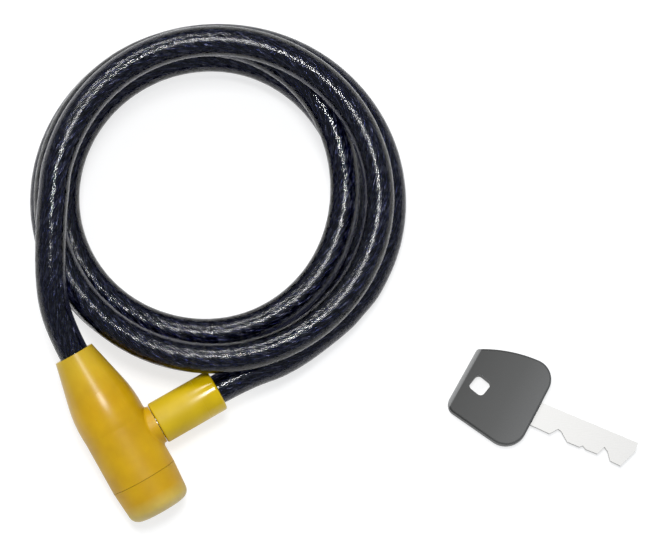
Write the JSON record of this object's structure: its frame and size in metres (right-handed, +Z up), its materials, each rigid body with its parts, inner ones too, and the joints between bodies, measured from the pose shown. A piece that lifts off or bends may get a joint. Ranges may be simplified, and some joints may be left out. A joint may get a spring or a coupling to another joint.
{
  "type": "cable lock",
  "caption": "Coiled bicycle cable lock, its plug pushed into the side of a keyed barrel, with the key lying beside it",
  "frame": {"origin": "on the surface the lock lies on, under the middle of the barrel, plug and key", "axes": "+Z up, +X to the right as pictured from above, +Y away from the barrel's lock end"},
  "size_m": [0.1948, 0.1634, 0.0411],
  "materials": {
    "barrel_yellow": "satin golden yellow moulding",
    "cap_cream": "satin yellow moulding, paler at the end",
    "plug_yellow": "glossy yellow moulding",
    "smoke_vinyl": "glossy smoke-tinted clear vinyl over wire rope",
    "rope_steel": "galvanised strands",
    "steel": "zinc-plated steel",
    "zinc": "die-cast zinc",
    "brass": "stamped brass",
    "bow_grey": "satin dark grey moulding",
    "key_steel": "nickel-plated steel"
  },
  "bodies": {
    "cable": {"coil_cable": "smoke_vinyl", "plug_lead_cable": "smoke_vinyl", "plug_sleeve": "plug_yellow", "plug_pin": "steel", "plug_rope_end": "rope_steel"},
    "barrel": {"barrel_shell": "barrel_yellow", "barrel_end_cap": "cap_cream", "lock_housing": "zinc", "cable_ferrule": "steel", "barrel_rope_end": "rope_steel", "latch_spring": "steel", "barrel_lead_cable": "smoke_vinyl"},
    "cylinder": {"cylinder_core": "zinc", "cam_plate": "steel", "wafer_springs": "steel"},
    "latch": {"latch_plate": "steel"},
    "key": {"key_bow": "bow_grey", "key_blade": "key_steel"},
    "wafer_1": {"wafer_1": "brass"},
    "wafer_2": {"wafer_2": "brass"},
    "wafer_3": {"wafer_3": "brass"},
    "wafer_4": {"wafer_4": "brass"},
    "wafer_5": {"wafer_5": "brass"}
  },
  "joints": [
    {"name": "barrel_pull", "type": "slide", "parent": "cable", "child": "barrel", "axis": [-0.866, -0.5, 0], "range_m": [0, 0.02], "deforming": ["barrel_lead_cable"]},
    {"name": "cylinder_turn", "type": "hinge", "parent": "barrel", "child": "cylinder", "pos_m": [-0.06222, -0.01825, 0.01081], "axis": [0.4891, -0.8471, -0.2079], "range_deg": [0, 90]},
    {"name": "latch_slide", "type": "slide", "parent": "barrel", "child": "latch", "axis": [0.104, -0.1801, 0.9781], "range_m": [0, 0.0013]},
    {"name": "wafer_1_slide", "type": "slide", "parent": "cylinder", "child": "wafer_1", "axis": [0.104, -0.1801, 0.9781], "range_m": [0, 0.0009]},
    {"name": "wafer_2_slide", "type": "slide", "parent": "cylinder", "child": "wafer_2", "axis": [-0.104, 0.1801, -0.9781], "range_m": [0, 0.0009]},
    {"name": "wafer_3_slide", "type": "slide", "parent": "cylinder", "child": "wafer_3", "axis": [0.104, -0.1801, 0.9781], "range_m": [0, 0.0009]},
    {"name": "wafer_4_slide", "type": "slide", "parent": "cylinder", "child": "wafer_4", "axis": [-0.104, 0.1801, -0.9781], "range_m": [0, 0.0009]},
    {"name": "wafer_5_slide", "type": "slide", "parent": "cylinder", "child": "wafer_5", "axis": [0.104, -0.1801, 0.9781], "range_m": [0, 0.0009]},
    {"name": "key_lift", "type": "slide", "parent": "cable", "child": "key", "axis": [0, 0, 1], "range_m": [0, 0.03]}
  ],
  "couplings": [
    {"joint": "latch_slide", "follows": "cylinder_turn", "m_per_rad": 0.0008276}
  ]
}
